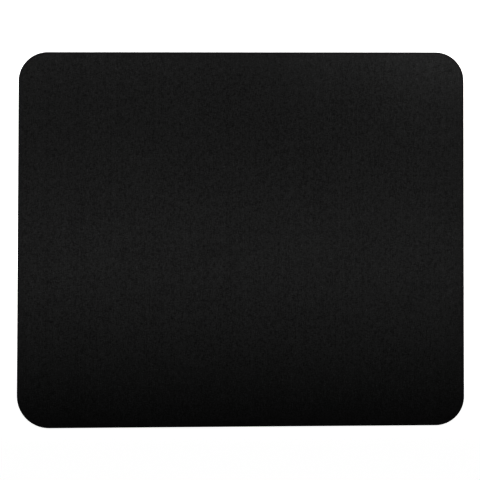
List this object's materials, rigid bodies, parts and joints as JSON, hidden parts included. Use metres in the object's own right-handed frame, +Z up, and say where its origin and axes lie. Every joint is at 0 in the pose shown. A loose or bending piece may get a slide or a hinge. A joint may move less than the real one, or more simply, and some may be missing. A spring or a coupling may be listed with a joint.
{
  "type": "mouse pad",
  "caption": "Flat rectangular cloth-topped mouse pad with rounded corners and a non-slip foam rubber base.",
  "frame": {"origin": "middle of the underside, in the plane that rests on the desk", "axes": "+X along the longer side to the user's right, +Y to the back edge away from the user, +Z up out of the cloth"},
  "size_m": [0.31, 0.26, 0.003],
  "materials": {
    "foam_rubber": "matte foam rubber with an embossed tread",
    "set_adhesive": "thin set hot-melt adhesive, slightly shiny",
    "woven_cloth": "matte fine woven polyester cloth, black"
  },
  "bodies": {
    "root": {"rubber_base": "foam_rubber", "adhesive_film": "set_adhesive", "cloth_surface": "woven_cloth"}
  },
  "joints": []
}
